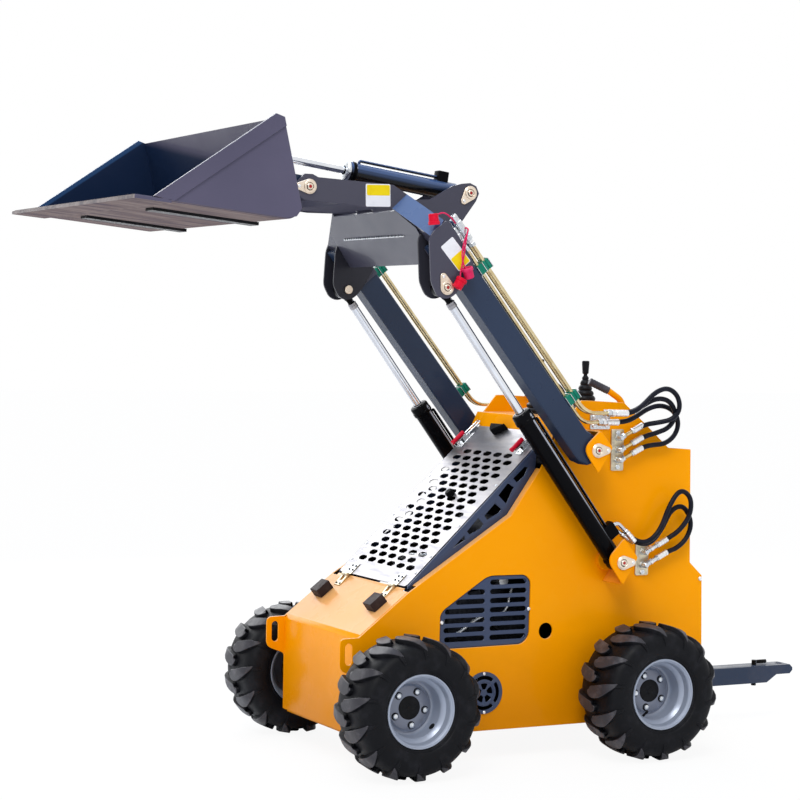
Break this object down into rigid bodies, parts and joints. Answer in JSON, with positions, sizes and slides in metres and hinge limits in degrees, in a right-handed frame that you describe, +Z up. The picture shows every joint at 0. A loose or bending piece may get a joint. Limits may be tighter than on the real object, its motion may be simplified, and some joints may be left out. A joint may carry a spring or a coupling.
{
  "type": "compact wheeled skid steer loader",
  "caption": "Compact wheeled skid steer loader: plate body, rising lift arms with hydraulic cylinders, tilting bucket, perforated hood and rear drawbar.",
  "frame": {"origin": "on the ground under the centre of the machine's box, bucket raised as at rest", "axes": "+Y to the machine's back (bucket lip to drawbar is the longest side), +X to its left, +Z up"},
  "size_m": [1.176, 2.816, 2.056],
  "materials": {
    "body_paint": "orange-yellow gloss paint",
    "arm_paint": "dark navy satin paint",
    "stainless": "brushed stainless sheet",
    "black_paint": "gloss black paint",
    "chrome_rod": "polished chrome",
    "tyre_rubber": "treaded tyre rubber",
    "rim_paint": "silver-grey rim paint",
    "dark_metal": "dark grey satin paint",
    "rubber": "black moulded rubber",
    "hose": "black hose cover",
    "zinc": "yellow-passivated zinc plate",
    "silver_fittings": "bright zinc fittings",
    "clamp_green": "green moulded clamp",
    "pin_cream": "pale plated pin and keeper",
    "bucket_paint": "graphite satin paint"
  },
  "bodies": {
    "chassis": {"axle_motors": "dark_metal", "side_plate_left": "body_paint", "side_plate_right": "body_paint", "nose_sheet": "body_paint", "belly_pan": "body_paint", "back_plate": "body_paint", "console": "body_paint", "engine_block": "dark_metal", "side_grilles": "dark_metal", "pivot_brackets": "body_paint", "pivot_pins": "pin_cream", "port_plates": "silver_fittings", "arm_stops": "rubber", "control_levers": "rubber", "hand_bars": "body_paint", "drawbar": "black_paint", "drawbar_pin": "black_paint", "hinge_mounts": "silver_fittings", "hose_upper_a_left": "hose", "hose_upper_b_left": "hose", "hose_upper_c_left": "hose", "hose_lower_d_left": "hose", "hose_lower_e_left": "hose", "hose_upper_a_right": "hose", "hose_upper_b_right": "hose", "hose_lower_d_right": "hose", "hose_lower_e_right": "hose"},
    "arms": {"arm_tubes": "arm_paint", "arm_heads": "arm_paint", "cross_plate": "arm_paint", "boom_frame": "arm_paint", "boom_struts": "arm_paint", "tilt_lugs": "arm_paint", "arm_pins": "pin_cream", "steel_tubes": "zinc", "tube_fittings": "silver_fittings", "tube_clamps": "clamp_green"},
    "bucket": {"bucket_shell": "bucket_paint", "bucket_ears": "bucket_paint"},
    "hood": {"hood_lid": "stainless", "hood_frame": "arm_paint", "hood_hinges": "silver_fittings"},
    "lift_barrel_left_body": {"lift_barrel_left": "black_paint"},
    "lift_barrel_right_body": {"lift_barrel_right": "black_paint"},
    "lift_rod_left_body": {"lift_rod_left": "chrome_rod"},
    "lift_rod_right_body": {"lift_rod_right": "chrome_rod"},
    "tilt_barrel_body": {"tilt_barrel": "arm_paint"},
    "tilt_rod_body": {"tilt_rod": "chrome_rod"},
    "wheel_front_left": {"tyre_front_left": "tyre_rubber", "rim_front_left": "rim_paint"},
    "wheel_front_right": {"tyre_front_right": "tyre_rubber", "rim_front_right": "rim_paint"},
    "wheel_rear_left": {"tyre_rear_left": "tyre_rubber", "rim_rear_left": "rim_paint"},
    "wheel_rear_right": {"tyre_rear_right": "tyre_rubber", "rim_rear_right": "rim_paint"}
  },
  "joints": [
    {"name": "lift", "type": "hinge", "parent": "chassis", "child": "arms", "pos_m": [0, 0.298, 1.033], "axis": [-1, 0, 0], "range_deg": [-80, 0]},
    {"name": "bucket_tilt", "type": "hinge", "parent": "arms", "child": "bucket", "pos_m": [0, -0.687, 1.871], "axis": [1, 0, 0], "range_deg": [-90, 35]},
    {"name": "hood_open", "type": "hinge", "parent": "chassis", "child": "hood", "pos_m": [0, -0.343, 0.583], "axis": [1, 0, 0], "range_deg": [0, 95]},
    {"name": "lift_barrel_left_swing", "type": "hinge", "parent": "chassis", "child": "lift_barrel_left_body", "pos_m": [0.36, 0.406, 0.656], "axis": [-1, 0, 0], "range_deg": [-60.92, 0]},
    {"name": "lift_rod_left_slide", "type": "slide", "parent": "lift_barrel_left_body", "child": "lift_rod_left_body", "axis": [0, -0.6055, 0.7959], "range_m": [-0.402, 0]},
    {"name": "lift_barrel_right_swing", "type": "hinge", "parent": "chassis", "child": "lift_barrel_right_body", "pos_m": [-0.36, 0.406, 0.656], "axis": [-1, 0, 0], "range_deg": [-60.92, 0]},
    {"name": "lift_rod_right_slide", "type": "slide", "parent": "lift_barrel_right_body", "child": "lift_rod_right_body", "axis": [0, -0.6055, 0.7959], "range_m": [-0.402, 0]},
    {"name": "tilt_barrel_swing", "type": "hinge", "parent": "arms", "child": "tilt_barrel_body", "pos_m": [0, -0.014, 1.888], "axis": [1, 0, 0], "range_deg": [-0.8, 1.9]},
    {"name": "tilt_rod_slide", "type": "slide", "parent": "tilt_barrel_body", "child": "tilt_rod_body", "axis": [0, -0.9912, 0.1322], "range_m": [-0.163, 0.064]},
    {"name": "wheel_front_left_spin", "type": "hinge", "parent": "chassis", "child": "wheel_front_left", "pos_m": [0.447, -0.4175, 0.2285], "axis": [1, 0, 0], "continuous": true},
    {"name": "wheel_front_right_spin", "type": "hinge", "parent": "chassis", "child": "wheel_front_right", "pos_m": [-0.447, -0.4175, 0.2285], "axis": [1, 0, 0], "continuous": true},
    {"name": "wheel_rear_left_spin", "type": "hinge", "parent": "chassis", "child": "wheel_rear_left", "pos_m": [0.447, 0.4895, 0.2285], "axis": [1, 0, 0], "continuous": true},
    {"name": "wheel_rear_right_spin", "type": "hinge", "parent": "chassis", "child": "wheel_rear_right", "pos_m": [-0.447, 0.4895, 0.2285], "axis": [1, 0, 0], "continuous": true}
  ],
  "couplings": [
    {"joint": "lift_barrel_left_swing", "follows": "lift", "ratio": 0.759},
    {"joint": "lift_rod_left_slide", "follows": "lift", "m_per_rad": 0.2872},
    {"joint": "lift_barrel_right_swing", "follows": "lift", "ratio": 0.759},
    {"joint": "lift_rod_right_slide", "follows": "lift", "m_per_rad": 0.2872},
    {"joint": "tilt_barrel_swing", "follows": "bucket_tilt", "ratio": -0.02},
    {"joint": "tilt_rod_slide", "follows": "bucket_tilt", "m_per_rad": 0.1031}
  ]
}
